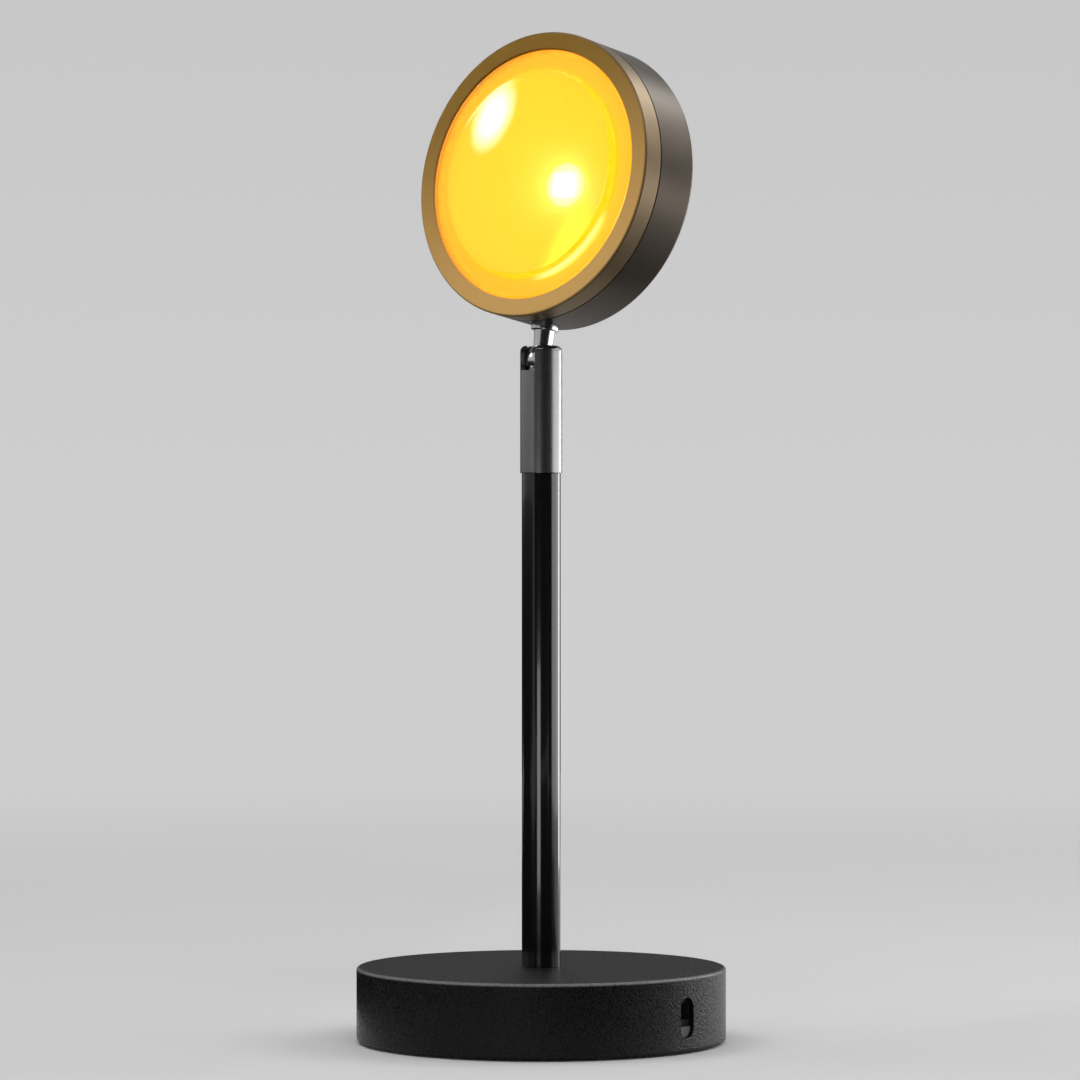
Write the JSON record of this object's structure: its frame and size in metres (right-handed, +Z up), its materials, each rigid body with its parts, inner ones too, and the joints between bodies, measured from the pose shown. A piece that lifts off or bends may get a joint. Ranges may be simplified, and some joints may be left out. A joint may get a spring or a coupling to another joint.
{
  "type": "sunset projection lamp",
  "caption": "Sunset projection lamp: a flat round head with a domed amber lens turns and tilts on a slotted ball joint over a straight post and a round weighted base with a slide switch.",
  "frame": {"origin": "middle of the foot pad's underside, on the surface the lamp stands on", "axes": "+Z up along the post; the head looks towards -Y as it stands, the slide switch is on +X and the power inlet on +Y"},
  "size_m": [0.095, 0.095, 0.2596],
  "materials": {
    "black_powder_coat": "matte black powder coat with a fine sand texture",
    "cast_ballast": "bare cast iron",
    "zinc_plate": "zinc-plated sheet",
    "screw_steel": "zinc-plated",
    "foot_foam": "matte black anti-slip pad",
    "circuit_board": "green solder mask over glass-epoxy",
    "chip_black": "matte moulded package",
    "inlet_steel": "nickel-plated shell",
    "lead_red": "flexible jacket",
    "plug_ivory": "moulded nylon",
    "knob_grey": "dark grey moulded knob",
    "post_gloss_black": "gloss black lacquer over a steel tube",
    "turned_brass": "turned",
    "lead_white": "flexible jacket",
    "dark_nickel": "satin dark nickel plate",
    "nylon": "natural nylon",
    "bright_chrome": "polished chrome plate",
    "gunmetal": "satin gunmetal, fine turned lines",
    "amber_glass": "polished amber glass",
    "gasket_black": "black silicone",
    "filter_orange": "orange colour filter",
    "tunnel_white": "white diffuse moulding",
    "spreader_alu": "bare turned face",
    "pad_grey": "soft filled silicone",
    "led_board_white": "white solder mask on a metal core",
    "emitter": "phosphor under clear silicone"
  },
  "bodies": {
    "base": {"base_cover": "black_powder_coat", "base_weight": "cast_ballast", "bottom_plate": "zinc_plate", "bottom_screws": "screw_steel", "foot_pad": "foot_foam", "driver_board": "circuit_board", "driver_chip": "chip_black", "driver_coil": "chip_black", "board_screws": "screw_steel", "usb_shell": "inlet_steel", "usb_tongue": "chip_black", "switch_case": "chip_black", "switch_board": "circuit_board", "switch_board_screws": "screw_steel", "switch_lead": "lead_red", "lead_plugs": "plug_ivory", "post_tube": "post_gloss_black", "post_stud": "screw_steel", "post_washer": "screw_steel", "post_nut": "screw_steel", "post_journal": "turned_brass", "post_lead": "lead_white"},
    "sleeve": {"ball_sleeve": "dark_nickel", "snap_ring": "screw_steel", "ball_seat": "nylon", "spring_washers": "screw_steel"},
    "neck": {"ball_stem": "bright_chrome", "neck_collar": "bright_chrome", "neck_washer": "screw_steel", "neck_nut": "screw_steel", "neck_lead": "lead_white"},
    "head": {"head_housing": "gunmetal", "front_bezel": "gunmetal", "lens": "amber_glass", "lens_gasket": "gasket_black", "colour_filter": "filter_orange", "light_tunnel": "tunnel_white", "heat_spreader": "spreader_alu", "thermal_pad": "pad_grey", "led_board": "led_board_white", "led_emitter": "emitter", "led_screws": "screw_steel", "head_lead": "lead_white"},
    "knob": {"switch_knob": "knob_grey"}
  },
  "joints": [
    {"name": "sleeve_swivel", "type": "hinge", "parent": "base", "child": "sleeve", "pos_m": [0, 0, 0.16], "axis": [0, 0, 1], "range_deg": [-170, 170]},
    {"name": "head_tilt", "type": "hinge", "parent": "sleeve", "child": "neck", "pos_m": [0, 0, 0.1752], "axis": [0.9903, -0.1392, 0], "range_deg": [-5, 98]},
    {"name": "head_spin", "type": "hinge", "parent": "neck", "child": "head", "pos_m": [0, 0, 0.1752], "axis": [0.0211, 0.1498, 0.9885], "range_deg": [-170, 170]},
    {"name": "switch_slide", "type": "slide", "parent": "base", "child": "knob", "axis": [0, 0, 1], "range_m": [0, 0.004]}
  ]
}
